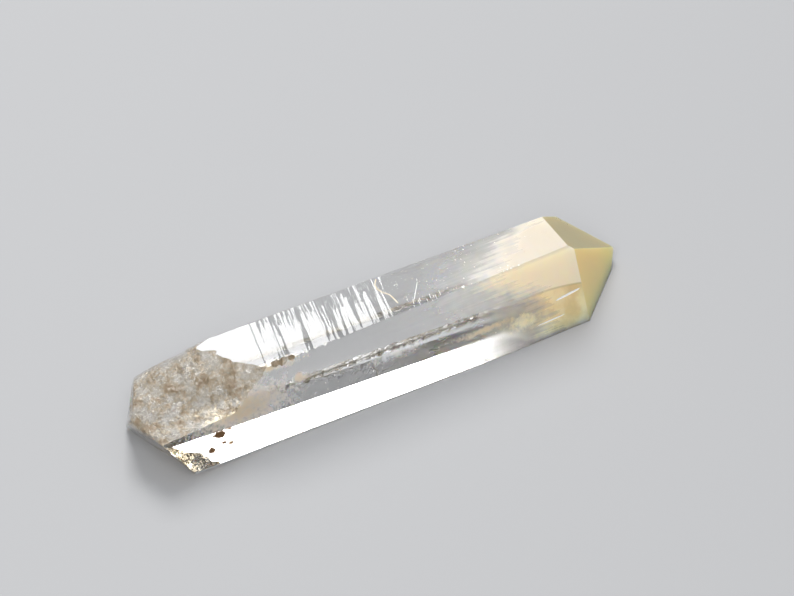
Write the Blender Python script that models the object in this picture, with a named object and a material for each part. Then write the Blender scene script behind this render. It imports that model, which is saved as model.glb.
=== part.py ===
"""A mango quartz point that lies on one of its prism faces, modelled as one clear crystal.

The crystal is a leaning six-sided prism cut from a block, with a six-sided termination at its
+X end and a broken, conchoidal base at its -X end. The growth axis is X, and the flat face
that it rests on is at z = 0. Lengths below are in millimetres, read along the growth axis
from near the broken end, and the finished crystal is centred over the origin.
"""
import bisect
import math
import random

import bmesh
import bpy
from mathutils import Matrix, Vector, noise

MM = 0.001
COLLECTION = "mango_quartz_crystal"
NODE = "quartz_crystal"

# The block that the crystal is cut from.
BLOCK_LOW = Vector((-3.0, -9.0, -1.0))
BLOCK_HIGH = Vector((45.0, 3.0, 8.0))

# Prism faces: the way each faces around the axis, its reach from the axis line, and how far
# it closes in toward the tip (both angles in degrees). The base is a little out of true.
PRISM = {
    "top": (90.0, 5.308, 0.0),
    "front_upper": (30.0, 6.393, 1.195),
    "front_lower": (-30.0, 5.634, -0.258),
    "base": (-87.0, 0.340, 0.0),
    "back_lower": (-150.0, 0.317, 2.124),
    "back_upper": (150.0, 3.141, 0.688),
}

# The turn about the axis that sets the base level.
LAY_TURN = 3.0

# Termination: each face stands over a prism face and leans this far from it, as quartz does.
TIP_LEAN = 38.2
TIP_REACH = {
    "top": 26.425,
    "front_upper": 26.977,
    "front_lower": 27.186,
    "base": 25.60,
    "back_lower": 24.90,
    "back_upper": 25.611,
}

# Growth ledges across a prism face: first and last place, how many, deepest setback, slant.
LEDGES = {
    "top": (10.8, 21.0, 22, 0.030, 0.25),
    "front_upper": (13.0, 26.0, 5, 0.030, -0.10),
    "back_upper": (9.0, 33.0, 7, 0.020, 0.10),
    "back_lower": (8.0, 34.0, 7, 0.020, -0.12),
}
RISER_RUN = (0.06, 0.16)
LEDGE_LEAST_GAP = 0.22
LEDGE_CROWDING = 1.6
LEDGE_SEED = 7

# Break frame: the broken surface is a height along BREAK_OUT over a tilted, two-way grid.
BREAK_ORIGIN = Vector((3.0, -3.0, 3.0))
BREAK_OUT = Vector((-0.8, 0.0, 0.6))
BREAK_UP = Vector((0.6, 0.0, 0.8))
BREAK_SIDE = Vector((0.0, 1.0, 0.0))
BREAK_LOW = (-6.9, -5.6)
BREAK_HIGH = (9.6, 5.2)
BREAK_PITCH = 0.24
BREAK_CLEARANCE = 12.0
BREAK_SOFTNESS = 0.15

# Broken facets: the way each faces and a point on it. The lowest of the bold facets is what
# is left, and the bay, where its floor meets its wall, is sunk between them.
BOLD_FACETS = [
    (Vector((-0.232, -0.090, 0.969)), Vector((6.67, 0.33, 5.31))),
    (Vector((-0.146, 0.738, 0.658)), Vector((6.67, 0.33, 5.31))),
    (Vector((-0.814, -0.264, -0.518)), Vector((1.42, -1.63, 0.0))),
    (Vector((-0.830, 0.550, 0.110)), Vector((-0.3, -2.5, 3.4))),
    (Vector((-0.860, -0.100, 0.500)), Vector((0.35, -2.0, 3.75))),
]
BAY_FLOOR = (Vector((-0.020, -0.272, 0.962)), Vector((4.3, -0.5, 4.65)))
BAY_WALL = (Vector((-0.283, -0.526, 0.802)), Vector((8.0, -2.9, 5.31)))

# Shell-shaped scars on the break: middle, radius, depth.
SCARS = [
    (Vector((2.8, -3.3, 3.8)), 2.3, 0.40),
    (Vector((4.9, 0.1, 4.7)), 1.7, 0.22),
    (Vector((0.8, -1.0, 3.2)), 1.3, 0.16),
    (Vector((1.9, -4.2, 0.9)), 1.7, 0.28),
    (Vector((7.4, -2.0, 4.9)), 1.5, 0.18),
    (Vector((8.9, -3.4, 4.9)), 1.0, 0.16),
]
RIPPLE_WAVE = 0.62
RIPPLE_HEIGHT = 0.018

# Roughness of the break: fine in the scars, coarse where it runs out on the prism faces.
ROUGH_CALM = 0.03
ROUGH_COARSE = 0.20
ROUGH_SIZE = 0.75
ROUGH_START = 1.2
ROUGH_FULL = 4.6
ROUGH_LAYER = 2.0
ROUGH_FADE = 0.8
ROUGH_GROWTH = 2.1
ROUGH_OCTAVES = 3

# The worn lower back edge: a jagged bar takes its corner off. Its half width wanders along
# its length, and it thins out over a share of its length at each end.
WORN_FROM = 7.5
WORN_TO = 33.5
WORN_WIDTH = 0.24
WORN_FLATTENING = 0.8
WORN_PITCH = 0.42
WORN_END = 0.17
WORN_WANDER = 0.8
WORN_WAVES = 59.0
WORN_SIDES = 4.0

# Small nicks: place and radius, most of them along the upper front edge near the break.
NICK_RUNS = [
    ((10.6, 12.4), 5, (0.28, 0.50)),
    ((13.0, 16.5), 4, (0.10, 0.22)),
    ((30.2, 31.8), 4, (0.10, 0.20)),
    ((35.2, 35.9), 2, (0.10, 0.16)),
]
NICK_LIFT = 0.3
NICK_STRETCH = (0.7, 1.3)
NICK_SEED = 11

# Long, thin growth marks on the upper front face near the tip: two ends, half width.
MARKS = [
    (Vector((33.84, -5.34, 2.13)), Vector((36.45, -5.16, 2.33)), 0.075),
    (Vector((31.88, -6.03, 1.02)), Vector((34.74, -5.93, 1.07)), 0.045),
]

CRYSTAL_COLOUR = (0.83, 0.74, 0.52, 1.0)
CRYSTAL_ROUGHNESS = 0.12
SAME_PLANE = 1e-3
CUT_TOLERANCE = 1e-5


def facing(angle, lean=0.0):
    """Outward direction of a face at an angle around the growth axis, leaning toward the tip."""
    around = math.radians(angle)
    toward_tip = math.radians(lean)
    flat = Vector((0.0, -math.cos(around), math.sin(around)))
    return flat * math.cos(toward_tip) + Vector((math.sin(toward_tip), 0.0, 0.0))


def prism_normal(name):
    angle, _, closing = PRISM[name]
    return facing(angle, closing)


def cut_face(bm, normal, reach):
    """Cut everything beyond a plane off the block, and close the cut with one flat face."""
    everything = bm.verts[:] + bm.edges[:] + bm.faces[:]
    bmesh.ops.bisect_plane(bm, geom=everything, dist=CUT_TOLERANCE,
                           plane_co=normal * reach, plane_no=normal, clear_outer=True)
    rim = [edge for edge in bm.edges if edge.is_boundary]
    bmesh.ops.edgeloop_fill(bm, edges=rim)


def block():
    """The block of millimetre size that every crystal face is cut from."""
    bm = bmesh.new()
    size = BLOCK_HIGH - BLOCK_LOW
    place = Matrix.Translation((BLOCK_LOW + BLOCK_HIGH) / 2) @ Matrix.Diagonal(size.to_4d())
    bmesh.ops.create_cube(bm, size=1.0, matrix=place)
    return bm


def ledge_profile(name):
    """Knots along the axis and the setback at each: level treads with short risers between.

    The ledges crowd toward the broken end, and the face is whole again past the last one.
    """
    first, last, count, deepest, _ = LEDGES[name]
    draw = random.Random(LEDGE_SEED + sum(map(ord, name)))
    feet = sorted(first + (last - first) * draw.random() ** LEDGE_CROWDING for _ in range(count))
    places = [first]
    setbacks = [0.0]
    for foot in feet:
        if foot - places[-1] < LEDGE_LEAST_GAP:
            continue
        places += [foot, foot + draw.uniform(*RISER_RUN)]
        setbacks += [setbacks[-1], deepest * draw.random()]
    places += [last + LEDGE_LEAST_GAP, last + LEDGE_LEAST_GAP + max(RISER_RUN)]
    setbacks += [setbacks[-1], 0.0]
    return places, setbacks


def setback(profile, place):
    """Setback of a ledge profile at a place, straight between its knots."""
    places, setbacks = profile
    if place <= places[0] or place >= places[-1]:
        return 0.0
    after = bisect.bisect_right(places, place)
    part = (place - places[after - 1]) / (places[after] - places[after - 1])
    return setbacks[after - 1] * (1 - part) + setbacks[after] * part


def on_face(point, name):
    return abs(point.dot(prism_normal(name)) - PRISM[name][1]) < SAME_PLANE


def add_ledges(bm):
    """Score each striated prism face across the axis, then step its strips back and forth."""
    profiles = {}
    for name, (_, _, _, _, slant) in LEDGES.items():
        profiles[name] = ledge_profile(name)
        across = Vector((1.0, -slant, 0.0)).normalized()
        for place in profiles[name][0]:
            faces = [face for face in bm.faces if all(on_face(v.co, name) for v in face.verts)]
            strip = faces + list({edge for face in faces for edge in face.edges})
            strip += list({vert for face in faces for vert in face.verts})
            bmesh.ops.bisect_plane(bm, geom=strip, dist=CUT_TOLERANCE,
                                   plane_co=Vector((place, 0.0, 0.0)), plane_no=across)
    for vert in bm.verts:
        touching = [name for name in PRISM if on_face(vert.co, name)]
        moves = []
        for name in touching:
            step = 0.0
            if name in LEDGES:
                slant = LEDGES[name][4]
                step = setback(profiles[name], vert.co.x - slant * vert.co.y)
            moves.append((facing(PRISM[name][0]), -step))
        vert.co += slide(moves)


def slide(moves):
    """The small move across the axis that shifts one or two faces by the given amounts."""
    if not any(abs(amount) > 0 for _, amount in moves):
        return Vector((0.0, 0.0, 0.0))
    if len(moves) == 1:
        direction, amount = moves[0]
        return direction * amount
    (one, move_one), (two, move_two) = moves[:2]
    turn = one.y * two.z - one.z * two.y
    y = (move_one * two.z - move_two * one.z) / turn
    z = (one.y * move_two - two.y * move_one) / turn
    return Vector((0.0, y, z))


def crystal_form():
    """The unbroken crystal: six prism faces, six termination faces, ledges across the prism."""
    bm = block()
    for name in PRISM:
        cut_face(bm, prism_normal(name), PRISM[name][1])
    for name, reach in TIP_REACH.items():
        cut_face(bm, facing(PRISM[name][0], TIP_LEAN), reach)
    add_ledges(bm)
    return bm


def to_break(point):
    """A crystal point as up, side and out amounts in the break frame."""
    offset = point - BREAK_ORIGIN
    return offset.dot(BREAK_UP), offset.dot(BREAK_SIDE), offset.dot(BREAK_OUT)


def facet_height(normal, point, up, side):
    """Height of a broken facet's plane over a place in the break frame."""
    offset = BREAK_UP * up + BREAK_SIDE * side + BREAK_ORIGIN - point
    return -offset.dot(normal) / BREAK_OUT.dot(normal)


def break_height(up, side):
    """Height of the broken surface: blended facets, shell-shaped scars and roughness."""
    heights = [facet_height(normal, point, up, side) for normal, point in BOLD_FACETS]
    heights.append(max(facet_height(*facet, up, side) for facet in (BAY_FLOOR, BAY_WALL)))
    lowest = min(heights)
    blend = sum(math.exp((lowest - height) / BREAK_SOFTNESS) for height in heights)
    height = lowest - BREAK_SOFTNESS * math.log(blend)
    calm = 0.0
    for middle, radius, depth in SCARS:
        scar_up, scar_side, _ = to_break(middle)
        away = math.hypot(up - scar_up, side - scar_side) / radius
        bowl = max(0.0, 1.0 - away * away)
        ripple = math.cos(2 * math.pi * away * radius / RIPPLE_WAVE)
        height -= depth * bowl + RIPPLE_HEIGHT * ripple * math.sqrt(bowl)
        calm = max(calm, bowl)
    coarse = min(1.0, max(0.0, (up - ROUGH_START) / (ROUGH_FULL - ROUGH_START)))
    rough = ROUGH_CALM + (ROUGH_COARSE - ROUGH_CALM) * coarse * (1.0 - 0.5 * calm)
    spot = Vector((up, side, ROUGH_LAYER)) / ROUGH_SIZE
    return height + rough * noise.fractal(spot, ROUGH_FADE, ROUGH_GROWTH, ROUGH_OCTAVES)


def break_cutter_form():
    """A block over the broken end, whose lower side is the broken surface turned over."""
    bm = bmesh.new()
    counts = [round((high - low) / BREAK_PITCH) for low, high in zip(BREAK_LOW, BREAK_HIGH)]
    bmesh.ops.create_grid(bm, x_segments=counts[0], y_segments=counts[1], size=0.5)
    spans = [high - low for low, high in zip(BREAK_LOW, BREAK_HIGH)]
    for vert in bm.verts:
        up = BREAK_LOW[0] + (vert.co.x + 0.5) * spans[0]
        side = BREAK_LOW[1] + (vert.co.y + 0.5) * spans[1]
        vert.co = Vector((up, side, break_height(up, side)))
    skirt = bmesh.ops.extrude_face_region(bm, geom=bm.faces[:])
    for item in skirt["geom"]:
        if isinstance(item, bmesh.types.BMVert):
            item.co.z = BREAK_CLEARANCE
    for vert in bm.verts:
        up, side, out = vert.co
        vert.co = BREAK_ORIGIN + BREAK_UP * up + BREAK_SIDE * side + BREAK_OUT * out
    bmesh.ops.recalc_face_normals(bm, faces=bm.faces)
    return bm


def edge_point(one, two, place):
    """The point where two prism faces meet at a place along the axis."""
    rows = [prism_normal(one), prism_normal(two), Vector((1.0, 0.0, 0.0))]
    return Matrix(rows).inverted() @ Vector((PRISM[one][1], PRISM[two][1], place))


def worn_edge_form():
    """A jagged bar along the lower back edge, its thickness wandering along its length."""
    bm = bmesh.new()
    start = edge_point("base", "back_lower", WORN_FROM)
    end = edge_point("base", "back_lower", WORN_TO)
    bmesh.ops.create_cube(bm, size=1.0)
    along = [edge for edge in bm.edges if abs(edge.verts[0].co.x - edge.verts[1].co.x) > 0.5]
    cuts = round((WORN_TO - WORN_FROM) / WORN_PITCH)
    bmesh.ops.subdivide_edges(bm, edges=along, cuts=cuts)
    for vert in bm.verts:
        part = vert.co.x + 0.5
        middle = start.lerp(end, part)
        taper = min(1.0, part / WORN_END, (1.0 - part) / WORN_END)
        spot = Vector((part * WORN_WAVES, vert.co.y * WORN_SIDES, vert.co.z * WORN_SIDES))
        width = 2 * WORN_WIDTH * taper * (1.0 + WORN_WANDER * noise.noise(spot))
        vert.co = middle + Vector((0.0, vert.co.y, vert.co.z * WORN_FLATTENING)) * width
    bmesh.ops.recalc_face_normals(bm, faces=bm.faces)
    return bm


def pebble(bm, middle, radii, turn):
    """A rough little lump, which leaves a nick or a mark where it is taken away."""
    place = Matrix.Translation(middle) @ turn @ Matrix.Diagonal(Vector(radii).to_4d())
    bmesh.ops.create_icosphere(bm, subdivisions=1, radius=1.0, matrix=place)


def nick_form():
    """Nicks along the upper front edge, and the long marks near the tip."""
    bm = bmesh.new()
    draw = random.Random(NICK_SEED)
    for (first, last), count, (small, large) in NICK_RUNS:
        for number in range(count):
            place = first + (last - first) * (number + draw.uniform(0.2, 0.8)) / count
            radius = draw.uniform(small, large)
            lift = Vector((0.0, 0.0, NICK_LIFT * radius))
            middle = edge_point("top", "front_upper", place) + lift
            turn = Matrix.Rotation(draw.uniform(0.0, math.pi), 4, "Z")
            radii = [radius * draw.uniform(*NICK_STRETCH) for _ in range(3)]
            pebble(bm, middle, radii, turn)
    for start, end, half in MARKS:
        along = end - start
        turn = along.to_track_quat("X", "Z").to_matrix().to_4x4()
        pebble(bm, (start + end) / 2, (along.length / 2, half, half), turn)
    return bm


def add_object(name, bm, collection):
    mesh = bpy.data.meshes.new(name)
    bm.to_mesh(mesh)
    bm.free()
    thing = bpy.data.objects.new(name, mesh)
    collection.objects.link(thing)
    return thing


def as_cutter(thing):
    thing.hide_render = True
    thing.display_type = "WIRE"
    return thing


def take_away(thing, cutter):
    """Subtract a cutter from the crystal with an exact Boolean."""
    cut = thing.modifiers.new(cutter.name, "BOOLEAN")
    cut.operation = "DIFFERENCE"
    cut.solver = "EXACT"
    cut.use_self = True
    cut.object = cutter


def crystal_material():
    """Clear quartz with the pale mango tint of its tip."""
    material = bpy.data.materials.new("mango_quartz")
    material.use_nodes = True
    shader = material.node_tree.nodes["Principled BSDF"]
    shader.inputs["Base Color"].default_value = CRYSTAL_COLOUR
    shader.inputs["Roughness"].default_value = CRYSTAL_ROUGHNESS
    shader.inputs["Metallic"].default_value = 0.0
    material.diffuse_color = CRYSTAL_COLOUR
    return material


def collection_named(name):
    collection = bpy.data.collections.new(name)
    bpy.context.scene.collection.children.link(collection)
    return collection


def centre_over_origin(things):
    """Lay the crystal on its base in metres, with its box centred over the origin."""
    crystal = things[0]
    for thing in things:
        thing.data.transform(Matrix.Rotation(math.radians(LAY_TURN), 4, "X"))
    bpy.context.view_layer.update()
    solid = crystal.evaluated_get(bpy.context.evaluated_depsgraph_get())
    corners = [Vector(corner) for corner in solid.bound_box]
    low = Vector(min(corner[axis] for corner in corners) for axis in range(3))
    high = Vector(max(corner[axis] for corner in corners) for axis in range(3))
    middle = Vector(((low.x + high.x) / 2, (low.y + high.y) / 2, low.z))
    for thing in things:
        thing.data.transform(Matrix.Scale(MM, 4) @ Matrix.Translation(-middle))


def main():
    for thing in list(bpy.data.objects):
        bpy.data.objects.remove(thing)
    parts = collection_named(COLLECTION)
    cutters = collection_named("cutters")
    crystal = add_object(NODE, crystal_form(), parts)
    crystal.data.materials.append(crystal_material())
    tools = [
        as_cutter(add_object("broken_base", break_cutter_form(), cutters)),
        as_cutter(add_object("worn_edge", worn_edge_form(), cutters)),
        as_cutter(add_object("nicks", nick_form(), cutters)),
    ]
    for tool in tools:
        take_away(crystal, tool)
    centre_over_origin([crystal] + tools)


main()
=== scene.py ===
"""Looks of a mango quartz point: a clear crystal with a cloudy mango tip and a broken base.

The crystal is rebuilt at a finer grain than the solid it replaces, in the same millimetre
layout along the growth axis, and set onto the solid's box. Growth needles, veils and stains
sit in and on it.
"""
import bisect
import math
import random

import bmesh
import bpy
from mathutils import Matrix, Vector, noise

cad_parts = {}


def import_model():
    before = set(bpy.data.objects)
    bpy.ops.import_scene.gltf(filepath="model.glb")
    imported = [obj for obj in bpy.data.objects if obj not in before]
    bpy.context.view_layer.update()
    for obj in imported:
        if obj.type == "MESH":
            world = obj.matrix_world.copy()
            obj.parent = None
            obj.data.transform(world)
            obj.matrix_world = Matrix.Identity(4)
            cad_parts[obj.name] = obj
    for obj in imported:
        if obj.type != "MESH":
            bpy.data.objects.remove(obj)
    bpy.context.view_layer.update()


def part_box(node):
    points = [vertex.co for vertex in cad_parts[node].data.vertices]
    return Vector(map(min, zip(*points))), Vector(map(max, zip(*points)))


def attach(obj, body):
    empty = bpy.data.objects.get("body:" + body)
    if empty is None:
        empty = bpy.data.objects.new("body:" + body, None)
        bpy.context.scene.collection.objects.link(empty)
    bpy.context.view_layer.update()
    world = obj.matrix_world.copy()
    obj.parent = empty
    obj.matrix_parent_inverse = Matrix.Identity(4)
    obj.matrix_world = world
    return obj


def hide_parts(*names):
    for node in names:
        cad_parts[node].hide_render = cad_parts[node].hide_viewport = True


MM = 0.001
NODE = "quartz_crystal"

# Every length below is in millimetres, unless its line says otherwise.

# Camera, fitted to the photograph: angles in degrees.
CAMERA_ELEVATION = 43.602
CAMERA_AZIMUTH = -33.985
CAMERA_ROLL = 4.073
CAMERA_DISTANCE = 362.208
CAMERA_TARGET = Vector((23.558, 0.0, 2.635))
CAMERA_FOCAL_PIXELS = 4939.306
PICTURE_WIDTH_PIXELS = 794
SENSOR_WIDTH = 36.0
CAMERA_NEAR = 10.0

# The block that the crystal is cut from, as in the solid.
BLOCK_LOW = Vector((-3.0, -9.0, -1.0))
BLOCK_HIGH = Vector((45.0, 3.0, 8.0))
# Prism faces: angle around the axis, distance from it, and how they close toward the tip.
PRISM = {
    "top": (90.0, 5.308, 0.0),
    "front_upper": (30.0, 6.393, 1.195),
    "front_lower": (-30.0, 5.634, -0.258),
    "base": (-87.0, 0.340, 0.0),
    "back_lower": (-150.0, 0.317, 2.124),
    "back_upper": (150.0, 3.141, 0.688),
}
LAY_TURN = 3.0
# Tip faces: their lean from the axis, and the distance of each along its own direction.
TIP_LEAN = 38.2
TIP_REACH = {
    "top": 26.425,
    "front_upper": 26.977,
    "front_lower": 27.186,
    "base": 25.60,
    "back_lower": 24.90,
    "back_upper": 25.611,
}
# Ledges across a face: first and last place, how many, deepest setback, slant. They are
# shallower than the solid's, which keeps the reflections of the soft light together.
LEDGES = {
    "top": (10.8, 21.0, 22, 0.014, 0.25),
    "front_upper": (13.0, 26.0, 5, 0.008, -0.10),
    "back_upper": (9.0, 33.0, 7, 0.006, 0.10),
    "back_lower": (8.0, 34.0, 7, 0.006, -0.12),
}
RISER_RUN = (0.06, 0.16)
LEDGE_LEAST_GAP = 0.22
LEDGE_CROWDING = 1.6
LEDGE_SEED = 7

# The break, in a frame of its own: up its slope, sideways over the crystal, and out.
BREAK_ORIGIN = Vector((3.0, -3.0, 3.0))
BREAK_OUT = Vector((-0.8, 0.0, 0.6))
BREAK_UP = Vector((0.6, 0.0, 0.8))
BREAK_SIDE = Vector((0.0, 1.0, 0.0))
BREAK_LOW = (-6.9, -5.6)
BREAK_HIGH = (9.6, 5.2)
BREAK_PITCH = 0.12
BREAK_CLEARANCE = 12.0
BREAK_SOFTNESS = 0.15
# Facets as an outward direction and a point, and scars as a middle, a radius and a depth.
BOLD_FACETS = [
    (Vector((-0.232, -0.090, 0.969)), Vector((6.67, 0.33, 5.31))),
    (Vector((-0.146, 0.738, 0.658)), Vector((6.67, 0.33, 5.31))),
    (Vector((-0.814, -0.264, -0.518)), Vector((1.42, -1.63, 0.0))),
    (Vector((-0.830, 0.550, 0.110)), Vector((-0.3, -2.5, 3.4))),
    (Vector((-0.860, -0.100, 0.500)), Vector((0.35, -2.0, 3.75))),
]
BAY_FLOOR = (Vector((-0.020, -0.272, 0.962)), Vector((4.3, -0.5, 4.65)))
BAY_WALL = (Vector((-0.283, -0.526, 0.802)), Vector((8.0, -2.9, 5.31)))
SCARS = [
    (Vector((2.8, -3.3, 3.8)), 2.3, 0.40),
    (Vector((4.9, 0.1, 4.7)), 1.7, 0.22),
    (Vector((0.8, -1.0, 3.2)), 1.3, 0.16),
    (Vector((1.9, -4.2, 0.9)), 1.7, 0.28),
    (Vector((7.4, -2.0, 4.9)), 1.5, 0.18),
    (Vector((8.9, -3.4, 4.9)), 1.0, 0.16),
]
RIPPLE_WAVE = 0.62
RIPPLE_HEIGHT = 0.018
SCAR_CALM = 0.5
ROUGH_CALM = 0.03
ROUGH_COARSE = 0.20
ROUGH_SIZE = 0.75
ROUGH_START = 1.2
ROUGH_FULL = 4.6
ROUGH_LAYER = 2.0
ROUGH_FADE = 0.8
ROUGH_GROWTH = 2.1
ROUGH_OCTAVES = 5

# Worn edges: the two faces that meet, first and last place, half width, pitch. The lower back
# one is in the solid too.
WORN_EDGES = [
    ("base", "back_lower", 7.5, 33.5, 0.24, 0.14),
    ("top", "front_upper", 13.2, 27.0, 0.010, 0.16),
    ("top", "back_upper", 7.4, 35.9, 0.014, 0.16),
    ("front_upper", "front_lower", 6.5, 27.0, 0.028, 0.16),
]
WORN_FLATTENING = 0.8
WORN_END = 0.17
WORN_WANDER = 0.8
WORN_WAVES = 59.0
WORN_SIDES = 4.0

# Nicks in the upper front edge: range along, how many, and radii. The first run is broken lumps.
NICK_RUNS = [
    ((10.6, 12.4), 5, (0.28, 0.50)),
    ((13.0, 16.5), 4, (0.10, 0.22)),
    ((30.2, 31.8), 3, (0.06, 0.11)),
]
NICK_SPREAD = (0.2, 0.8)
NICK_LIFT = 0.3
NICK_STRETCH = (0.7, 1.3)
NICK_SEED = 11

# Long growth marks: start, end and half width.
MARKS = [
    (Vector((33.84, -5.34, 2.13)), Vector((36.45, -5.16, 2.33)), 0.110),
    (Vector((31.88, -6.03, 1.02)), Vector((34.74, -5.93, 1.07)), 0.060),
]

# Small pits on the top face: place along and across, and radius.
PITS = [
    (30.35, -3.10, 0.05), (30.70, -3.55, 0.08), (30.95, -3.20, 0.06), (31.25, -3.45, 0.05),
    (28.35, -0.05, 0.05), (28.95, -0.20, 0.07), (29.70, -0.10, 0.05),
]
PIT_FLATTENING = 0.5

# How near counts as on a plane or as one point, and from how many degrees an edge is sharp.
SAME_PLANE = 1e-3
CUT_TOLERANCE = 1e-5
SHARP_ANGLE = 40.0

# The cloud of the tip: where it starts, how that moves over the section, and how it frays.
# Every noise is given as its scale per millimetre, detail and roughness.
HAZE_FROM = 19.0
HAZE_COVER = 0.35
FOG_FROM = 25.6
FOG_FULL = 31.2
FOG_EDGE_Y = -3.5
FOG_EDGE_Z = 4.7
FOG_BEHIND = 1.3
FOG_BELOW = 2.0
FOG_BELOW_MOST = 3.4
FOG_STREAKS = 6.0
FOG_CLOUDS = 4.0
CLOUD_COVER = 0.90
STREAK_STRETCH = (0.22, 4.0, 4.0)
STREAK_NOISE = (1.0, 5.0, 0.6)
CLOUD_NOISE = (0.6, 4.0, 0.55)

# Needles: how many, where they start from the cloud's edge, their length and half width.
NEEDLES = 1200
NEEDLE_SEED = 23
NEEDLE_REACH = (-0.5, 4.0)
NEEDLE_LENGTH = (0.6, 2.8)
NEEDLE_HALF = (0.006, 0.016)
NEEDLE_LEAN = 0.02
NEEDLE_MARGIN = 0.12

# Scratches on the top face: start, end and half width. Ticks: ranges along and across, count.
SCRATCHES = [
    ((24.15, -1.60), (23.05, -3.00), 0.022),
    ((22.95, -2.95), (22.75, -3.40), 0.020),
    ((24.20, -1.50), (24.30, -1.25), 0.018),
    ((26.74, -3.60), (26.98, -3.55), 0.070),
]
SCRATCH_LIFT = 0.006
SCRATCH_SEED = 5
TICK_FIELDS = [((22.6, 25.1), (-3.85, -3.40), 9), ((14.0, 20.6), (-3.6, -0.2), 26)]
TICK_LENGTH = (0.10, 0.55)
TICK_HALF = (0.012, 0.024)

# The curved crack on the top face, as points along and across.
CRACK = [(21.67, 0.11), (21.28, -0.35), (21.20, -0.80), (21.32, -1.26), (21.71, -1.80),
         (21.75, -2.30), (21.78, -2.81)]
CRACK_HALF = 0.045
CRACK_LIFT = 0.008

# Dust: face, range along, range across (or up, on the front face), and how many grains.
DUST_FIELDS = [
    ("top", (20.5, 29.5), (-3.9, 0.2), 150),
    ("top", (29.5, 35.5), (-3.6, 0.0), 30),
    ("front_upper", (14.0, 30.0), (1.0, 5.0), 60),
]
DUST_SEED = 31
DUST_SMALL = 0.010
DUST_LARGE = 0.050
DUST_CROWDING = 4.0
DUST_STRETCH = (1.0, 2.2)
DUST_FLATTENING = 0.5

# Quartz as a material. Its absorption is per metre, and the subsurface scale is in metres.
QUARTZ_IOR = 1.544
QUARTZ_TINT = (0.95, 0.93, 0.88, 1.0)
QUARTZ_DENSITY = 9.0
SUBSURFACE_WEIGHT = 0.9
SUBSURFACE_RADIUS = (1.0, 0.72, 0.40)
SUBSURFACE_SCALE = 0.0035
CLEAR_ROUGHNESS = 0.012
CLOUDY_ROUGHNESS = 0.28
CLOUDY_RELIEF = 0.02

# Striations of the top face: where they fade in and out, and their lines as size and slope.
STRIATION_SLANT = 0.256
STRIATION_TAPER = 0.05
STRIATED_FROM = (10.4, 11.4)
STRIATED_TO = (21.9, 21.7)
STRIATED_ABOVE = (4.9, 5.1)
FINE_LINES = (0.13, 0.040)
BROAD_LINES = (0.75, 0.022)
TREAD_PITCH = 0.31
TREAD_LEAN = 0.045
TREADS_ACROSS = (-2.0, 0.0)
TREADS_ALONG = (11.4, 13.4)

# Tones of the cloud. Cream lies over ochre, and an olive line runs where they meet; over the
# cloud's own tones, the cream above is painted light and the ochre below painted shade.
WHITE = (1.0, 1.0, 1.0, 1.0)
LIT_CREAM = (0.90, 0.79, 0.60, 1.0)
# Painted shade: the cream is darker on the top face, which the key lights most.
TOP_SHADE_CREAM = (0.63, 0.56, 0.45, 1.0)
SHADED_OCHRE = (0.74, 0.56, 0.29, 1.0)
SHADED_TAN = (0.95, 0.76, 0.46, 1.0)
OLIVE = (0.44, 0.35, 0.15, 1.0)
# Painted shade on the tip faces that look up, painted light on those that look sideways.
TIP_UP_SHADE = (0.42, 0.36, 0.18, 1.0)
TIP_SIDE_LIGHT = (0.90, 0.70, 0.30, 1.0)
LINE_CREST_ALONG = 32.0
LINE_CREST_HEIGHT = 3.05
LINE_FALL = 0.022
LINE_WANDER = 0.3
LINE_BLEND = (-0.08, 0.08)
OLIVE_REACH = (0.10, 0.02)
OLIVE_COVER = 0.5
OCHRE_PATCHES = (0.35, 0.65)
TOP_SHADE_FADE = (5.0, 5.3)
TIP_FACING = (0.3, 0.4)
TIP_FROM = (33.5, 34.5)
TIP_UPWARD = (0.45, 0.70)

# Stains and veils: how ragged they are at two sizes of grain, then for each its middle, radii,
# tint, how much it covers, and the share that is solid.
SPOT_RAGGED = (1.1, 0.8)
SPOT_GRAIN = (2.2, 4.5)
SPOTS = [
    ((7.40, -5.30, 3.40), (5.60, 1.70, 2.70), (0.46, 0.36, 0.23, 1.0), 0.85, 0.0),
    ((10.50, -3.95, 5.15), (3.60, 0.50, 0.60), (0.44, 0.34, 0.22, 1.0), 0.80, 0.30),
    ((5.30, -5.90, 2.40), (0.72, 0.70, 0.36), (0.15, 0.085, 0.04, 1.0), 1.0, 0.50),
    ((6.05, -5.85, 2.55), (0.42, 0.40, 0.20), (0.22, 0.13, 0.07, 1.0), 1.0, 0.30),
    ((6.00, -6.30, 1.60), (0.42, 0.50, 0.20), (0.30, 0.19, 0.10, 1.0), 1.0, 0.20),
    ((5.45, -6.20, 1.80), (0.30, 0.50, 0.16), (0.22, 0.13, 0.07, 1.0), 1.0, 0.30),
    ((4.40, -6.30, 1.60), (0.40, 0.40, 0.26), (0.16, 0.09, 0.045, 1.0), 1.0, 0.50),
    ((12.35, -4.85, 3.90), (0.90, 0.40, 0.60), (0.66, 0.48, 0.22, 1.0), 0.55, 0.20),
    ((20.40, -5.20, 2.95), (3.20, 0.70, 0.50), (0.95, 0.95, 0.95, 1.0), 0.45, 0.0),
    ((28.00, -5.46, 2.15), (4.40, 0.60, 0.40), (0.90, 0.62, 0.28, 1.0), 0.60, 0.0),
    ((31.20, -5.80, 1.70), (2.60, 0.80, 1.20), (1.00, 0.80, 0.50, 1.0), 0.80, 0.0),
    ((30.46, -4.75, 3.28), (0.30, 0.12, 0.07), (0.30, 0.20, 0.10, 1.0), 0.80, 0.50),
]

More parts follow.
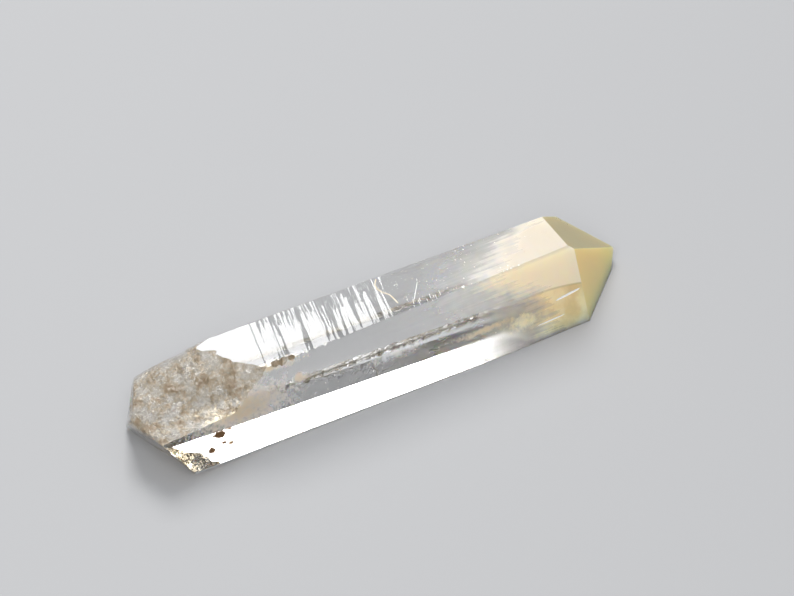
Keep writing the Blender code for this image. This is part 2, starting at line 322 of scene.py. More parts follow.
# Broken and worn quartz: tint of the clay, where the clay begins, and how clear the stone is.
BROKEN_FINISH = ((0.26, 0.18, 0.10, 1.0), 0.45, 0.66)
WORN_FINISH = ((0.70, 0.62, 0.50, 1.0), 0.50, 0.7)
PATCH_NOISE = (0.9, 5.0, 0.65)
GRAIN_NOISE = (5.0, 4.0, 0.7)
GRAIN_SHARE = 0.4
CLAY_BLEND = 0.20
CLAY_CLEARNESS = 0.15
CLAY_ROUGHNESS = 0.30
STONE_PATCHES = (0.3, 0.6)
STONE_PALE = (0.76, 0.73, 0.68, 1.0)
STONE_TAN = (0.57, 0.48, 0.34, 1.0)
# Painted shade: grey on the smooth lower-left facet of the break, which is undercut toward the
# floor.
SHADE_GREY = (0.50, 0.50, 0.50, 1.0)
SMOOTH_ALONG = (2.2, 1.4)
SMOOTH_BELOW = (2.4, 1.7)
SMOOTH_CALM = 0.85
WARP_SCALE = 1.3
WARP_DETAIL = 4.0
BOLD_CHIPS = (0.95, 0.36)
SMALL_CHIPS = (0.33, 0.22)
LUMP_NOISE = (1.7, 6.0, 0.68)
LUMP_HEIGHT = 0.14
GRAIN_HEIGHT = 0.02
BROKEN_ROUGHNESS = 0.07
BROKEN_COAT = 0.8
COAT_ROUGHNESS = 0.05

# The white floor of the growth marks, small nicks and pits: frost in the nicks and pits, and on
# the growth marks also a painted highlight.
FROST_NOISE = (9.0, 4.0, 0.6)
FROST_GLINT_CREAM = (0.96, 0.93, 0.86, 1.0)
FROST_CLEARNESS = 0.1
FROST_ROUGHNESS = 0.45
FROST_HEIGHT = 0.05

# Finishes of the small pieces: two tones, the size of their grain per millimetre, roughness.
GROWTH_FINISHES = {
    "growth_needles": ((0.97, 0.93, 0.84, 1.0), (0.94, 0.86, 0.68, 1.0), 2.0, 0.5),
    "scratches": ((0.95, 0.94, 0.92, 1.0), (0.85, 0.84, 0.82, 1.0), 8.0, 0.35),
    "crack_filling": ((0.88, 0.80, 0.64, 1.0), (0.74, 0.62, 0.42, 1.0), 4.0, 0.5),
    "dust": ((0.90, 0.86, 0.78, 1.0), (0.60, 0.52, 0.42, 1.0), 1.5, 0.6),
}
GRAIN_BLEND = (0.4, 0.6)

# Lights: azimuth and elevation in degrees, size in metres, power in watts. The floor is in
# metres too.
SOFTBOX_DISTANCE = 0.5
KEY = (17.1, 45.0, (0.21, 0.27), 1.9)
FILL = (225.0, 50.0, (0.35, 0.35), 1.7)
SURROUND_COLOUR = (0.93, 0.96, 1.0, 1.0)
SURROUND_STRENGTH = (0.15, 0.70)
FLOOR_HALF = 1.5
FLOOR_GAP = 0.00003
FLOOR_COLOUR = (0.37, 0.37, 0.375, 1.0)
FLOOR_ROUGHNESS = 0.65
MAX_BOUNCES = 32
GLOSSY_BOUNCES = 16
TRANSMISSION_BOUNCES = 24

# Kinds of face, in the order of the crystal's material slots.
FACE_KINDS = 4
FACE_CLEAR, FACE_BROKEN, FACE_WORN, FACE_FROST_GLINT = range(FACE_KINDS)


def facing(angle, lean=0.0):
    """Outward direction of a face at an angle around the growth axis, leaning toward the tip."""
    around = math.radians(angle)
    toward_tip = math.radians(lean)
    flat = Vector((0.0, -math.cos(around), math.sin(around)))
    return flat * math.cos(toward_tip) + Vector((math.sin(toward_tip), 0.0, 0.0))


def prism_normal(name):
    """Outward direction of a named prism face."""
    angle, _, closing = PRISM[name]
    return facing(angle, closing)


def cut_face(bm, normal, reach):
    """Cut everything beyond a plane off the block, and close the cut with one flat face."""
    everything = bm.verts[:] + bm.edges[:] + bm.faces[:]
    bmesh.ops.bisect_plane(bm, geom=everything, dist=CUT_TOLERANCE,
                           plane_co=normal * reach, plane_no=normal, clear_outer=True)
    rim = [edge for edge in bm.edges if edge.is_boundary]
    bmesh.ops.edgeloop_fill(bm, edges=rim)


def block():
    """The block of millimetre size that every crystal face is cut from."""
    bm = bmesh.new()
    size = BLOCK_HIGH - BLOCK_LOW
    place = Matrix.Translation((BLOCK_LOW + BLOCK_HIGH) / 2) @ Matrix.Diagonal(size.to_4d())
    bmesh.ops.create_cube(bm, size=1.0, matrix=place)
    return bm


def ledge_profile(name):
    """Knots along the axis and the setback at each: level treads with short risers between."""
    first, last, count, deepest, _ = LEDGES[name]
    draw = random.Random(LEDGE_SEED + sum(map(ord, name)))
    feet = sorted(first + (last - first) * draw.random() ** LEDGE_CROWDING for _ in range(count))
    places = [first]
    setbacks = [0.0]
    for foot in feet:
        if foot - places[-1] < LEDGE_LEAST_GAP:
            continue
        places += [foot, foot + draw.uniform(*RISER_RUN)]
        setbacks += [setbacks[-1], deepest * draw.random()]
    places += [last + LEDGE_LEAST_GAP, last + LEDGE_LEAST_GAP + max(RISER_RUN)]
    setbacks += [setbacks[-1], 0.0]
    return places, setbacks


def setback(profile, place):
    """Setback of a ledge profile at a place, straight between its knots."""
    places, setbacks = profile
    if place <= places[0] or place >= places[-1]:
        return 0.0
    after = bisect.bisect_right(places, place)
    part = (place - places[after - 1]) / (places[after] - places[after - 1])
    return setbacks[after - 1] * (1 - part) + setbacks[after] * part


def on_face(point, name):
    """Whether a point lies on a named prism face."""
    return abs(point.dot(prism_normal(name)) - PRISM[name][1]) < SAME_PLANE


def add_ledges(bm):
    """Score each striated prism face across the axis, then step its strips back and forth."""
    profiles = {}
    for name, (_, _, _, _, slant) in LEDGES.items():
        profiles[name] = ledge_profile(name)
        across = Vector((1.0, -slant, 0.0)).normalized()
        for place in profiles[name][0]:
            faces = [face for face in bm.faces if all(on_face(v.co, name) for v in face.verts)]
            strip = faces + list({edge for face in faces for edge in face.edges})
            strip += list({vert for face in faces for vert in face.verts})
            bmesh.ops.bisect_plane(bm, geom=strip, dist=CUT_TOLERANCE,
                                   plane_co=Vector((place, 0.0, 0.0)), plane_no=across)
    for vert in bm.verts:
        touching = [name for name in PRISM if on_face(vert.co, name)]
        moves = []
        for name in touching:
            step = 0.0
            if name in LEDGES:
                slant = LEDGES[name][4]
                step = setback(profiles[name], vert.co.x - slant * vert.co.y)
            moves.append((facing(PRISM[name][0]), -step))
        vert.co += slide(moves)


def slide(moves):
    """The small move across the axis that shifts one or two faces by the given amounts."""
    if not any(abs(amount) > 0 for _, amount in moves):
        return Vector((0.0, 0.0, 0.0))
    if len(moves) == 1:
        direction, amount = moves[0]
        return direction * amount
    (one, move_one), (two, move_two) = moves[:2]
    turn = one.y * two.z - one.z * two.y
    y = (move_one * two.z - move_two * one.z) / turn
    z = (one.y * move_two - two.y * move_one) / turn
    return Vector((0.0, y, z))


def crystal_form():
    """The unbroken crystal: six prism faces, six termination faces, ledges across the prism."""
    bm = block()
    for name in PRISM:
        cut_face(bm, prism_normal(name), PRISM[name][1])
    for name, reach in TIP_REACH.items():
        cut_face(bm, facing(PRISM[name][0], TIP_LEAN), reach)
    add_ledges(bm)
    return bm


def to_break(point):
    """A crystal point as up, side and out amounts in the break frame."""
    offset = point - BREAK_ORIGIN
    return offset.dot(BREAK_UP), offset.dot(BREAK_SIDE), offset.dot(BREAK_OUT)


def facet_height(normal, point, up, side):
    """Height of a broken facet's plane over a place in the break frame."""
    offset = BREAK_UP * up + BREAK_SIDE * side + BREAK_ORIGIN - point
    return -offset.dot(normal) / BREAK_OUT.dot(normal)


def break_height(up, side):
    """Height of the broken surface: blended facets, shell-shaped scars and roughness."""
    heights = [facet_height(normal, point, up, side) for normal, point in BOLD_FACETS]
    heights.append(max(facet_height(*facet, up, side) for facet in (BAY_FLOOR, BAY_WALL)))
    lowest = min(heights)
    blend = sum(math.exp((lowest - height) / BREAK_SOFTNESS) for height in heights)
    height = lowest - BREAK_SOFTNESS * math.log(blend)
    calm = 0.0
    for middle, radius, depth in SCARS:
        scar_up, scar_side, _ = to_break(middle)
        away = math.hypot(up - scar_up, side - scar_side) / radius
        bowl = max(0.0, 1.0 - away * away)
        ripple = math.cos(2 * math.pi * away * radius / RIPPLE_WAVE)
        height -= depth * bowl + RIPPLE_HEIGHT * ripple * math.sqrt(bowl)
        calm = max(calm, bowl)
    coarse = min(1.0, max(0.0, (up - ROUGH_START) / (ROUGH_FULL - ROUGH_START)))
    rough = ROUGH_CALM + (ROUGH_COARSE - ROUGH_CALM) * coarse * (1.0 - SCAR_CALM * calm)
    spot = Vector((up, side, ROUGH_LAYER)) / ROUGH_SIZE
    return height + rough * noise.fractal(spot, ROUGH_FADE, ROUGH_GROWTH, ROUGH_OCTAVES)


def break_cutter_form():
    """A block over the broken end, whose lower side is the broken surface turned over."""
    bm = bmesh.new()
    counts = [round((high - low) / BREAK_PITCH) for low, high in zip(BREAK_LOW, BREAK_HIGH)]
    bmesh.ops.create_grid(bm, x_segments=counts[0], y_segments=counts[1], size=0.5)
    spans = [high - low for low, high in zip(BREAK_LOW, BREAK_HIGH)]
    for vert in bm.verts:
        up = BREAK_LOW[0] + (vert.co.x + 0.5) * spans[0]
        side = BREAK_LOW[1] + (vert.co.y + 0.5) * spans[1]
        vert.co = Vector((up, side, break_height(up, side)))
    skirt = bmesh.ops.extrude_face_region(bm, geom=bm.faces[:])
    for item in skirt["geom"]:
        if isinstance(item, bmesh.types.BMVert):
            item.co.z = BREAK_CLEARANCE
    for vert in bm.verts:
        up, side, out = vert.co
        vert.co = BREAK_ORIGIN + BREAK_UP * up + BREAK_SIDE * side + BREAK_OUT * out
    bmesh.ops.recalc_face_normals(bm, faces=bm.faces)
    return bm


def edge_point(one, two, place):
    """The point where two prism faces meet at a place along the axis."""
    rows = [prism_normal(one), prism_normal(two), Vector((1.0, 0.0, 0.0))]
    return Matrix(rows).inverted() @ Vector((PRISM[one][1], PRISM[two][1], place))


def worn_edge_form(one, two, first, last, half, pitch):
    """A jagged bar along the edge of two prism faces, its thickness wandering along its length."""
    bm = bmesh.new()
    start = edge_point(one, two, first)
    end = edge_point(one, two, last)
    bmesh.ops.create_cube(bm, size=1.0)
    along = [edge for edge in bm.edges if abs(edge.verts[0].co.x - edge.verts[1].co.x) > 0.5]
    bmesh.ops.subdivide_edges(bm, edges=along, cuts=round((last - first) / pitch))
    for vert in bm.verts:
        part = vert.co.x + 0.5
        middle = start.lerp(end, part)
        taper = min(1.0, part / WORN_END, (1.0 - part) / WORN_END)
        spot = Vector((part * WORN_WAVES, vert.co.y * WORN_SIDES, vert.co.z * WORN_SIDES))
        width = 2 * half * taper * (1.0 + WORN_WANDER * noise.noise(spot))
        vert.co = middle + Vector((0.0, vert.co.y, vert.co.z * WORN_FLATTENING)) * width
    bmesh.ops.recalc_face_normals(bm, faces=bm.faces)
    return bm


def pebble(bm, middle, radii, turn):
    """A rough little lump, which leaves a nick or a mark where it is taken away."""
    place = Matrix.Translation(middle) @ turn @ Matrix.Diagonal(Vector(radii).to_4d())
    bmesh.ops.create_icosphere(bm, subdivisions=1, radius=1.0, matrix=place)


def nick_form(runs):
    """Nicks along the upper front edge."""
    bm = bmesh.new()
    draw = random.Random(NICK_SEED)
    for (first, last), count, (small, large) in runs:
        for number in range(count):
            place = first + (last - first) * (number + draw.uniform(*NICK_SPREAD)) / count
            radius = draw.uniform(small, large)
            lift = Vector((0.0, 0.0, NICK_LIFT * radius))
            middle = edge_point("top", "front_upper", place) + lift
            turn = Matrix.Rotation(draw.uniform(0.0, math.pi), 4, "Z")
            radii = [radius * draw.uniform(*NICK_STRETCH) for _ in range(3)]
            pebble(bm, middle, radii, turn)
    return bm


def mark_form():
    """The long growth marks on the upper front face near the tip."""
    bm = bmesh.new()
    for start, end, half in MARKS:
        along = end - start
        turn = along.to_track_quat("X", "Z").to_matrix().to_4x4()
        pebble(bm, (start + end) / 2, (along.length / 2, half, half), turn)
    return bm


def pit_form():
    """Small pits scattered on the top face near the tip."""
    bm = bmesh.new()
    for x, y, radius in PITS:
        pebble(bm, on_plane("top", x, y), (radius, radius, radius * PIT_FLATTENING), Matrix())
    return bm


def add_object(name, bm, kind=FACE_CLEAR):
    """A new object from a form, with every face of one kind."""
    for face in bm.faces:
        face.material_index = kind
    mesh = bpy.data.meshes.new(name)
    bm.to_mesh(mesh)
    bm.free()
    thing = bpy.data.objects.new(name, mesh)
    bpy.context.scene.collection.objects.link(thing)
    return thing


def crystal_piece():
    """The finished crystal mesh in its millimetre layout, with a slot for each kind of face."""
    crystal = add_object("clear_crystal", crystal_form())
    cutters = [add_object("break_cutter", break_cutter_form(), FACE_BROKEN)]
    cutters += [add_object("worn_cutter", worn_edge_form(*edge), FACE_WORN) for edge in WORN_EDGES]
    cutters.append(add_object("lump_cutter", nick_form(NICK_RUNS[:1]), FACE_BROKEN))
    cutters.append(add_object("nick_cutter", nick_form(NICK_RUNS[1:]), FACE_FROST_GLINT))
    cutters.append(add_object("pit_cutter", pit_form(), FACE_FROST_GLINT))
    # The growth marks take the frosted white, which on them is also a painted highlight.
    cutters.append(add_object("mark_cutter", mark_form(), FACE_FROST_GLINT))
    for thing in [crystal] + cutters:
        for _ in range(FACE_KINDS):
            thing.data.materials.append(None)
    for cutter in cutters:
        cut = crystal.modifiers.new(cutter.name, "BOOLEAN")
        cut.operation = "DIFFERENCE"
        cut.solver = "EXACT"
        cut.use_self = True
        cut.object = cutter
    solid = crystal.evaluated_get(bpy.context.evaluated_depsgraph_get())
    mesh = bpy.data.meshes.new_from_object(solid)
    crystal.modifiers.clear()
    crystal.data = mesh
    for cutter in cutters:
        bpy.data.objects.remove(cutter)
    mesh.set_sharp_from_angle(angle=math.radians(SHARP_ANGLE))
    for polygon in mesh.polygons:
        polygon.use_smooth = polygon.material_index != FACE_CLEAR
    return crystal


def onto_solid(crystal):
    """Lay the crystal on its base and on the solid's box; return the way from layout to world."""
    lay = Matrix.Rotation(math.radians(LAY_TURN), 4, "X")
    crystal.data.transform(lay)
    low, high = (Vector(corner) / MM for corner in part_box(NODE))
    own_low = Vector(min(vert.co[axis] for vert in crystal.data.vertices) for axis in range(3))
    own_high = Vector(max(vert.co[axis] for vert in crystal.data.vertices) for axis in range(3))
    shift = (low + high - own_low - own_high) / 2
    shift.z = low.z - own_low.z
    onto = Matrix.Scale(MM, 4) @ Matrix.Translation(shift)
    crystal.data.transform(onto)
    return onto @ lay


def on_plane(name, x, y=None, z=None):
    """The point of a prism face at x and at either y or z."""
    normal = prism_normal(name)
    if y is None:
        y = (PRISM[name][1] - normal.x * x - normal.z * z) / normal.y
    else:
        z = (PRISM[name][1] - normal.x * x - normal.y * y) / normal.z
    return Vector((x, y, z))


def inside(point, margin):
    """Whether a point lies inside the unbroken crystal, with a margin to every face."""
    for name, (angle, reach, _) in PRISM.items():
        if point.dot(prism_normal(name)) > reach - margin:
            return False
        if point.dot(facing(angle, TIP_LEAN)) > TIP_REACH[name] - margin:
            return False
    return True


def fog_start(across, height):
    """Where along the axis the cloud begins: earliest at the upper front edge."""
    behind = FOG_BEHIND * max(0.0, across - FOG_EDGE_Y)
    below = min(FOG_BELOW_MOST, FOG_BELOW * max(0.0, FOG_EDGE_Z - height))
    return FOG_FROM + behind + below


def add_needle(bm, start, end, half):
    """A needle that is thickest in its middle."""
    along = (end - start).normalized()
    side = along.orthogonal().normalized()
    middle = (start + end) / 2
    waist = []
    for corner in range(3):
        turn = Matrix.Rotation(math.radians(120 * corner), 3, along)
        waist.append(bm.verts.new(middle + turn @ side * half))
    points = [bm.verts.new(start), bm.verts.new(end)]
    for corner in range(3):
        one, two = waist[corner], waist[(corner + 1) % 3]
        bm.faces.new((points[1], one, two))
        bm.faces.new((points[0], two, one))


def needle_form():
    """Thin growth needles along the axis, which thicken into the cloud of the tip."""
    bm = bmesh.new()
    draw = random.Random(NEEDLE_SEED)
    made = 0
    while made < NEEDLES:
        across = draw.uniform(BLOCK_LOW.y, BLOCK_HIGH.y)
        height = draw.uniform(0.0, BLOCK_HIGH.z)
        place = fog_start(across, height) + draw.uniform(*NEEDLE_REACH)
        start = Vector((place, across, height))
        length = draw.uniform(*NEEDLE_LENGTH)
        lean = Vector((1.0, draw.gauss(0.0, NEEDLE_LEAN), draw.gauss(0.0, NEEDLE_LEAN)))
        end = start + lean * length
        if inside(start, NEEDLE_MARGIN) and inside(end, NEEDLE_MARGIN):
            add_needle(bm, start, end, draw.uniform(*NEEDLE_HALF))
            made += 1
    return bm


def add_bar(bm, start, end, half, lift):
    """A thin low bar on a face, from one point to another."""
    along = end - start
    turn = along.to_track_quat("X", "Z").to_matrix().to_4x4()
    size = Matrix.Diagonal(Vector((along.length, 2 * half, 2 * lift, 1.0)))
    bmesh.ops.create_cube(bm, size=1.0, matrix=Matrix.Translation((start + end) / 2) @ turn @ size)


def scratch_form():
    """Pale scratches and short ticks on the upper faces."""
    bm = bmesh.new()
    draw = random.Random(SCRATCH_SEED)
    for start, end, half in SCRATCHES:
        add_bar(bm, on_plane("top", *start), on_plane("top", *end), half, SCRATCH_LIFT)
    for (low, high), (near, far), count in TICK_FIELDS:
        for _ in range(count):
            x = draw.uniform(low, high)
            y = draw.uniform(near, far)
            reach = draw.uniform(*TICK_LENGTH)
            start = on_plane("top", x, y)
            end = on_plane("top", x + reach * STRIATION_SLANT, y + reach)
            add_bar(bm, start, end, draw.uniform(*TICK_HALF), SCRATCH_LIFT)
    return bm


def crack_form():
    """The curved crack across the upper face, filled with ochre."""
    bm = bmesh.new()
    for start, end in zip(CRACK, CRACK[1:]):
        add_bar(bm, on_plane("top", *start), on_plane("top", *end), CRACK_HALF, CRACK_LIFT)
    return bm


def dust_form():
    """Grains of dust on the top and upper front faces."""
    bm = bmesh.new()
    draw = random.Random(DUST_SEED)
    for name, (low, high), (near, far), count in DUST_FIELDS:
        for _ in range(count):
            x = draw.uniform(low, high)
            other = draw.uniform(near, far)
            middle = on_plane(name, x, y=other) if name == "top" else on_plane(name, x, z=other)
            radius = DUST_SMALL + (DUST_LARGE - DUST_SMALL) * draw.random() ** DUST_CROWDING
            turn = Matrix.Rotation(draw.uniform(0.0, math.pi), 4, "Z")
            stretch = radius * draw.uniform(*DUST_STRETCH)
            pebble(bm, middle, (stretch, radius, radius * DUST_FLATTENING), turn)
    return bm


class Field:
    """A number that changes over the surface, with plain arithmetic."""

    def __init__(self, nodes, socket):
        self.nodes = nodes
        self.socket = socket

    def __add__(self, other):
        return self.nodes.math("ADD", self, other)

    def __sub__(self, other):
        return self.nodes.math("SUBTRACT", self, other)

    def __rsub__(self, other):
        return self.nodes.math("SUBTRACT", other, self)

    def __mul__(self, other):
        return self.nodes.math("MULTIPLY", self, other)

    def __abs__(self):
        return self.nodes.math("ABSOLUTE", self)

    def between(self, low, high):
        return self.nodes.math("MINIMUM", self.nodes.math("MAXIMUM", self, low), high)

    def ramp(self, low, high, start=0.0, end=1.0):
        """A smooth change from start to end as the number goes from low to high."""
        node = self.nodes.add("ShaderNodeMapRange", {"Value": self, "From Min": low,
                                                     "From Max": high, "To Min": start,
                                                     "To Max": end})
        node.interpolation_type = "SMOOTHSTEP"
        return Field(self.nodes, node.outputs["Result"])


class Nodes:
    """A short way to write a material's nodes."""

    def __init__(self, owner):
        owner.use_nodes = True
        self.material = owner
        self.tree = owner.node_tree

    def add(self, kind, inputs=None, **settings):
        """A new node, with its inputs by name and its settings."""
        node = self.tree.nodes.new(kind)
        for key, value in settings.items():
            setattr(node, key, value)
        for key, value in (inputs or {}).items():
            self.set(node.inputs[key], value)
        return node

    def set(self, socket, value):
        """Link a field or an output to a socket, or give the socket a plain value."""
        if isinstance(value, Field):
            value = value.socket
        if isinstance(value, bpy.types.NodeSocket):
            self.tree.links.new(value, socket)
        else:
            socket.default_value = value

    def shade(self, **values):
        """Set sockets of the material's shader by their names, with _ for a space."""
        for name, value in values.items():
            self.set(self.tree.nodes["Principled BSDF"].inputs[name.replace("_", " ")], value)

    def math(self, operation, *values):
        node = self.add("ShaderNodeMath", operation=operation)
        for socket, value in zip(node.inputs, values):
            self.set(socket, value)
        return Field(self, node.outputs[0])

    def vector(self, operation, *values):
        node = self.add("ShaderNodeVectorMath", operation=operation)
        for socket, value in zip(node.inputs, values):
            self.set(socket, value)
        return node.outputs

    def parts(self, vector):
        outputs = self.add("ShaderNodeSeparateXYZ", {"Vector": vector}).outputs
        return [Field(self, socket) for socket in outputs]

    def layout(self, place):
        """Coordinates in the crystal's millimetre layout."""
        shift, turn, scale = place.inverted().decompose()
        source = self.add("ShaderNodeTexCoord").outputs["Object"]
        inputs = {"Vector": source, "Location": shift, "Rotation": turn.to_euler(),
                  "Scale": scale}
        return self.add("ShaderNodeMapping", inputs).outputs[0]

    def stretched(self, vector, scale):
        return self.add("ShaderNodeMapping", {"Vector": vector, "Scale": scale}).outputs[0]

    def mix(self, factor, one, two):
        node = self.add("ShaderNodeMix", data_type="RGBA")
        self.set(node.inputs[0], factor)
        self.set(node.inputs[6], one)
        self.set(node.inputs[7], two)
        return node.outputs[2]

    def noise(self, vector, scale, detail=3.0, roughness=0.5):
        node = self.add("ShaderNodeTexNoise", {"Vector": vector, "Scale": scale,
                                               "Detail": detail, "Roughness": roughness})
        return Field(self, node.outputs["Fac"])

    def spot(self, local, middle, radii, core):
        """1 in the core of a ragged ellipsoid and 0 outside it."""
        offset = self.vector("SUBTRACT", local, middle)[0]
        away = Field(self, self.vector("LENGTH", self.vector("DIVIDE", offset, radii)[0])["Value"])
        for scale, ragged in zip(SPOT_GRAIN, SPOT_RAGGED):
            away = away + (self.noise(local, scale) - 0.5) * ragged
        return away.ramp(1.0, core)

    def chips(self, local, size, slope):
        """Height of flat little chips of a size, each with a tilt of its own."""
        cells = self.add("ShaderNodeTexVoronoi", {"Vector": local, "Scale": 1.0 / size})
        lean = self.vector("SUBTRACT", cells.outputs["Color"], (0.5, 0.5, 0.5))[0]
        offset = self.vector("SUBTRACT", local, cells.outputs["Position"])[0]
        return Field(self, self.vector("DOT_PRODUCT", lean, offset)["Value"]) * (2 * slope)

    def bump(self, height):
        """The surface's direction for a height in millimetres."""
        node = self.add("ShaderNodeBump", {"Height": height, "Strength": 1.0, "Distance": MM})
        return node.outputs["Normal"]

    def absorb(self):
        """A faint warm tint that grows with the depth of the quartz."""
        volume = self.add("ShaderNodeVolumeAbsorption")
        volume.inputs["Color"].default_value = QUARTZ_TINT
        volume.inputs["Density"].default_value = QUARTZ_DENSITY
        output = self.tree.nodes["Material Output"]
        self.tree.links.new(volume.outputs["Volume"], output.inputs["Volume"])


def clear_quartz(place):
    """Clear quartz that turns cloudy toward the tip, cream above as painted light and ochre below
    as painted shade.
    """
    n = Nodes(bpy.data.materials.new("clear_quartz"))
    local = n.layout(place)
    along, across, height = n.parts(local)
    behind = (across - FOG_EDGE_Y).between(0.0, BLOCK_HIGH.y - BLOCK_LOW.y) * FOG_BEHIND
    below = ((FOG_EDGE_Z - height) * FOG_BELOW).between(0.0, FOG_BELOW_MOST)
    streaks = n.noise(n.stretched(local, STREAK_STRETCH), *STREAK_NOISE)
    clouds = n.noise(local, *CLOUD_NOISE)
    wander = (streaks - 0.5) * FOG_STREAKS + (clouds - 0.5) * FOG_CLOUDS
    reach = along - behind - below + wander
    haze = reach.ramp(HAZE_FROM, FOG_FULL) * HAZE_COVER
    cloudy = n.math("MAXIMUM", haze, reach.ramp(FOG_FROM, FOG_FULL))

    # Painted light and shade: cream above this line stands for the lit part of the cloud, ochre
    # and tan below it for the part in shade.
    past_crest = along - LINE_CREST_ALONG
    line = height - (LINE_CREST_HEIGHT - past_crest * past_crest * LINE_FALL)
    shaded_tone = n.mix(clouds.ramp(*OCHRE_PATCHES), SHADED_OCHRE, SHADED_TAN)
    # The cream turns darker on the top face, painted shade against the key that lights it most.
    lit_cream = n.mix(height.ramp(*TOP_SHADE_FADE), LIT_CREAM, TOP_SHADE_CREAM)
    tone = n.mix((line + (streaks - 0.5) * LINE_WANDER).ramp(*LINE_BLEND), shaded_tone, lit_cream)
    tone = n.mix(abs(line).ramp(*OLIVE_REACH, 0.0, OLIVE_COVER), tone, OLIVE)
    # Painted light and shade on the tip faces by their facing: darker ochre where they look up,
    # brighter yellow where they look sideways.
    turned = n.parts(n.add("ShaderNodeNewGeometry").outputs["True Normal"])
    on_tip = abs(turned[0]).ramp(*TIP_FACING) * along.ramp(*TIP_FROM)
    tip_light_shade = n.mix(abs(turned[2]).ramp(*TIP_UPWARD), TIP_SIDE_LIGHT, TIP_UP_SHADE)
    tone = n.mix(on_tip, tone, tip_light_shade)
    colour = n.mix(cloudy, WHITE, tone)
    covered = cloudy * CLOUD_COVER
    for middle, radii, tint, cover, core in SPOTS:
        mask = n.spot(local, middle, radii, core) * cover
        colour = n.mix(mask, colour, tint)
        covered = n.math("MAXIMUM", covered, mask)

    upright = along - across * STRIATION_SLANT
    row = n.add("ShaderNodeCombineXYZ", {"X": upright, "Y": across * STRIATION_TAPER})
    striated = along.ramp(*STRIATED_FROM) * upright.ramp(*STRIATED_TO)
    striated = striated * height.ramp(*STRIATED_ABOVE)
    lines = n.chips(row.outputs[0], *FINE_LINES) + n.chips(row.outputs[0], *BROAD_LINES)
    treads = n.math("FRACT", upright * (1.0 / TREAD_PITCH)) * (TREAD_PITCH * -TREAD_LEAN)
    lines = lines + treads * across.ramp(*TREADS_ACROSS) * along.ramp(*TREADS_ALONG)
    relief = lines * striated + clouds * cloudy * CLOUDY_RELIEF
    n.shade(Base_Color=colour, Transmission_Weight=1.0 - covered,
            Roughness=cloudy * CLOUDY_ROUGHNESS + CLEAR_ROUGHNESS, IOR=QUARTZ_IOR,
            Subsurface_Weight=SUBSURFACE_WEIGHT, Subsurface_Radius=SUBSURFACE_RADIUS,
            Subsurface_Scale=SUBSURFACE_SCALE, Normal=n.bump(relief))
    n.absorb()
    return n.material


def broken_quartz(name, place, tint, clay_from, clearness):
    """Quartz where it is broken: chipped and glinting, with brown clay in its pits."""
    n = Nodes(bpy.data.materials.new(name))
    local = n.layout(place)
    along, _, height = n.parts(local)
    patches = n.noise(local, *PATCH_NOISE)
    grains = n.noise(local, *GRAIN_NOISE)
    # The smooth lower-left facet is calmer and has no clay, and its grey is painted shade.
    smooth_shaded_facet = along.ramp(*SMOOTH_ALONG) * height.ramp(*SMOOTH_BELOW)
    ragged = patches + (grains - 0.5) * GRAIN_SHARE
    clay = ragged.ramp(clay_from, clay_from + CLAY_BLEND) * (1.0 - smooth_shaded_facet)
    stone = n.mix(patches.ramp(*STONE_PATCHES), STONE_PALE, STONE_TAN)
    stone = n.mix(smooth_shaded_facet, stone, SHADE_GREY)
    colour = n.mix(clay, stone, tint)
    warp = n.add("ShaderNodeTexNoise",
                 {"Vector": local, "Scale": WARP_SCALE, "Detail": WARP_DETAIL})
    warped = n.vector("ADD", local, warp.outputs["Color"])[0]
    chipped = 1.0 - smooth_shaded_facet * SMOOTH_CALM
    relief = (n.chips(warped, *BOLD_CHIPS) + n.chips(warped, *SMALL_CHIPS)) * chipped
    lumps = n.noise(local, *LUMP_NOISE) * LUMP_HEIGHT
    relief = relief + (lumps + grains * GRAIN_HEIGHT) * chipped
    turned = n.bump(relief)
    n.shade(Base_Color=colour,
            Transmission_Weight=clearness - clay * (clearness - CLAY_CLEARNESS),
            Roughness=clay * CLAY_ROUGHNESS + BROKEN_ROUGHNESS, IOR=QUARTZ_IOR,
            Coat_Weight=BROKEN_COAT, Coat_Roughness=COAT_ROUGHNESS,
            Normal=turned, Coat_Normal=turned)
    n.absorb()
    return n.material


def frost_and_glint_quartz(place):
    """The rough white floor of the growth marks, small nicks and pits; on the marks the white is
    also a painted highlight.
    """
    n = Nodes(bpy.data.materials.new("frost_and_glint_quartz"))
    local = n.layout(place)
    grains = n.noise(local, *FROST_NOISE)
    n.shade(Base_Color=n.mix(grains, FROST_GLINT_CREAM, WHITE), Transmission_Weight=FROST_CLEARNESS,
            Roughness=FROST_ROUGHNESS, IOR=QUARTZ_IOR, Normal=n.bump(grains * FROST_HEIGHT))
    n.absorb()
    return n.material


def grained(name, place, one, two, scale, roughness):
    """A plain stony finish with two tones."""
    n = Nodes(bpy.data.materials.new(name))
    tone = n.noise(n.layout(place), scale)
    n.shade(Base_Color=n.mix(tone.ramp(*GRAIN_BLEND), one, two), Roughness=roughness)
    return n.material


def view_axes():
    """The camera's right, up and backward directions in the crystal's layout."""
    elevation = math.radians(CAMERA_ELEVATION)
    azimuth = math.radians(-CAMERA_AZIMUTH)
    roll = math.radians(CAMERA_ROLL)
    back = Vector((-math.sin(azimuth) * math.cos(elevation),
                   -math.cos(azimuth) * math.cos(elevation), math.sin(elevation)))
    right = Vector((math.cos(azimuth), -math.sin(azimuth), 0.0))
    up = back.cross(right)
    rolled_right = right * math.cos(roll) + up * math.sin(roll)
    rolled_up = up * math.cos(roll) - right * math.sin(roll)
    return rolled_right, rolled_up, back


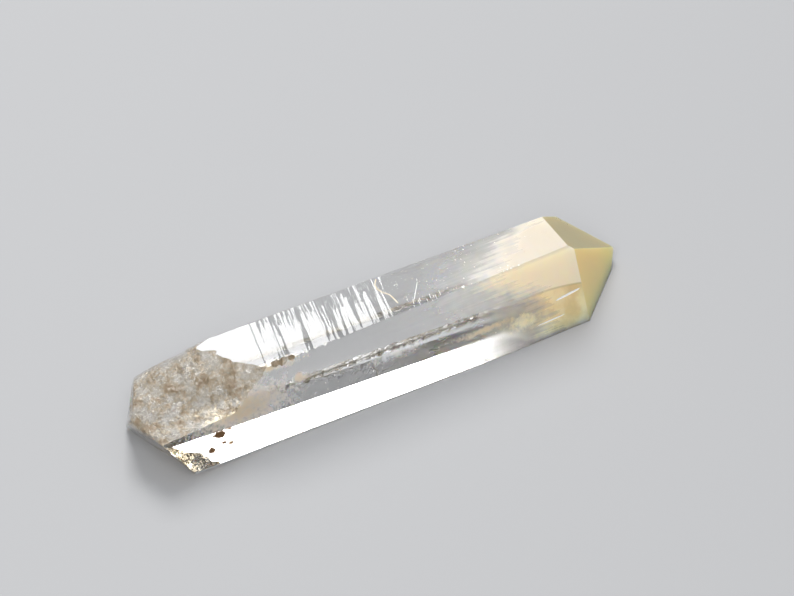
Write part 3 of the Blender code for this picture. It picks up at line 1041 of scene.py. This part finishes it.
def add_camera(place):
    """The camera where the photograph was taken from, in the crystal's layout."""
    right, up, back = view_axes()
    data = bpy.data.cameras.new("camera")
    data.sensor_width = SENSOR_WIDTH
    data.lens = CAMERA_FOCAL_PIXELS / PICTURE_WIDTH_PIXELS * SENSOR_WIDTH
    data.clip_start = CAMERA_NEAR * MM
    camera = bpy.data.objects.new("camera", data)
    eye = place @ (CAMERA_TARGET + back * CAMERA_DISTANCE)
    turn = place.to_quaternion().to_matrix() @ Matrix((right, up, back)).transposed()
    camera.matrix_world = Matrix.Translation(eye) @ turn.to_4x4()
    bpy.context.scene.collection.objects.link(camera)
    bpy.context.scene.camera = camera


def direction_of(azimuth, elevation):
    """A direction from the crystal: azimuth from +Y toward +X, both in degrees."""
    around = math.radians(azimuth)
    up = math.radians(elevation)
    return Vector((math.sin(around) * math.cos(up), math.cos(around) * math.cos(up), math.sin(up)))


def add_softbox(name, place, azimuth, elevation, size, power):
    """A rectangular soft light in a direction of the crystal's layout, facing the crystal."""
    data = bpy.data.lights.new(name, "AREA")
    data.shape = "RECTANGLE"
    data.size, data.size_y = size
    data.energy = power
    light = bpy.data.objects.new(name, data)
    bpy.context.scene.collection.objects.link(light)
    toward = place.to_quaternion() @ direction_of(azimuth, elevation)
    light.location = toward * SOFTBOX_DISTANCE
    light.rotation_euler = (-toward).to_track_quat("-Z", "Y").to_euler()


def add_surround():
    """A dim even surround, brighter overhead than at the horizon."""
    world = bpy.data.worlds.new("surround")
    n = Nodes(world)
    upward = n.parts(n.add("ShaderNodeTexCoord").outputs["Generated"])[2]
    back = n.tree.nodes["Background"]
    back.inputs["Color"].default_value = SURROUND_COLOUR
    n.set(back.inputs["Strength"], upward.ramp(0.0, 1.0, *SURROUND_STRENGTH))
    bpy.context.scene.world = world


def add_stage(place):
    """A plain pale floor, a soft key light behind the crystal and a weak fill in front."""
    bm = bmesh.new()
    bmesh.ops.create_grid(bm, x_segments=1, y_segments=1, size=FLOOR_HALF)
    floor = add_object("floor", bm)
    floor.location.z = -FLOOR_GAP
    n = Nodes(bpy.data.materials.new("pale_floor"))
    n.shade(Base_Color=FLOOR_COLOUR, Roughness=FLOOR_ROUGHNESS)
    floor.data.materials.append(n.material)
    add_softbox("key", place, *KEY)
    add_softbox("fill", place, *FILL)
    add_surround()
    scene = bpy.context.scene
    scene.view_settings.view_transform = "Standard"
    scene.cycles.max_bounces = MAX_BOUNCES
    scene.cycles.glossy_bounces = GLOSSY_BOUNCES
    scene.cycles.transmission_bounces = TRANSMISSION_BOUNCES


def add_growths(place):
    """The small things in and on the crystal, each a piece with a finish of its own."""
    forms = {
        "growth_needles": needle_form,
        "scratches": scratch_form,
        "crack_filling": crack_form,
        "dust": dust_form,
    }
    for name, form in forms.items():
        piece = add_object(name, form())
        piece.data.transform(place)
        piece.data.materials.append(grained(name, place, *GROWTH_FINISHES[name]))
        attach(piece, "root")


def main():
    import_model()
    crystal = crystal_piece()
    place = onto_solid(crystal)
    add_camera(place)
    finishes = [
        clear_quartz(place),
        broken_quartz("broken_quartz", place, *BROKEN_FINISH),
        broken_quartz("worn_quartz", place, *WORN_FINISH),
        frost_and_glint_quartz(place),
    ]
    for index, material in enumerate(finishes):
        crystal.data.materials[index] = material
    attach(crystal, "root")
    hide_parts(NODE)
    add_growths(place)
    add_stage(place)


main()
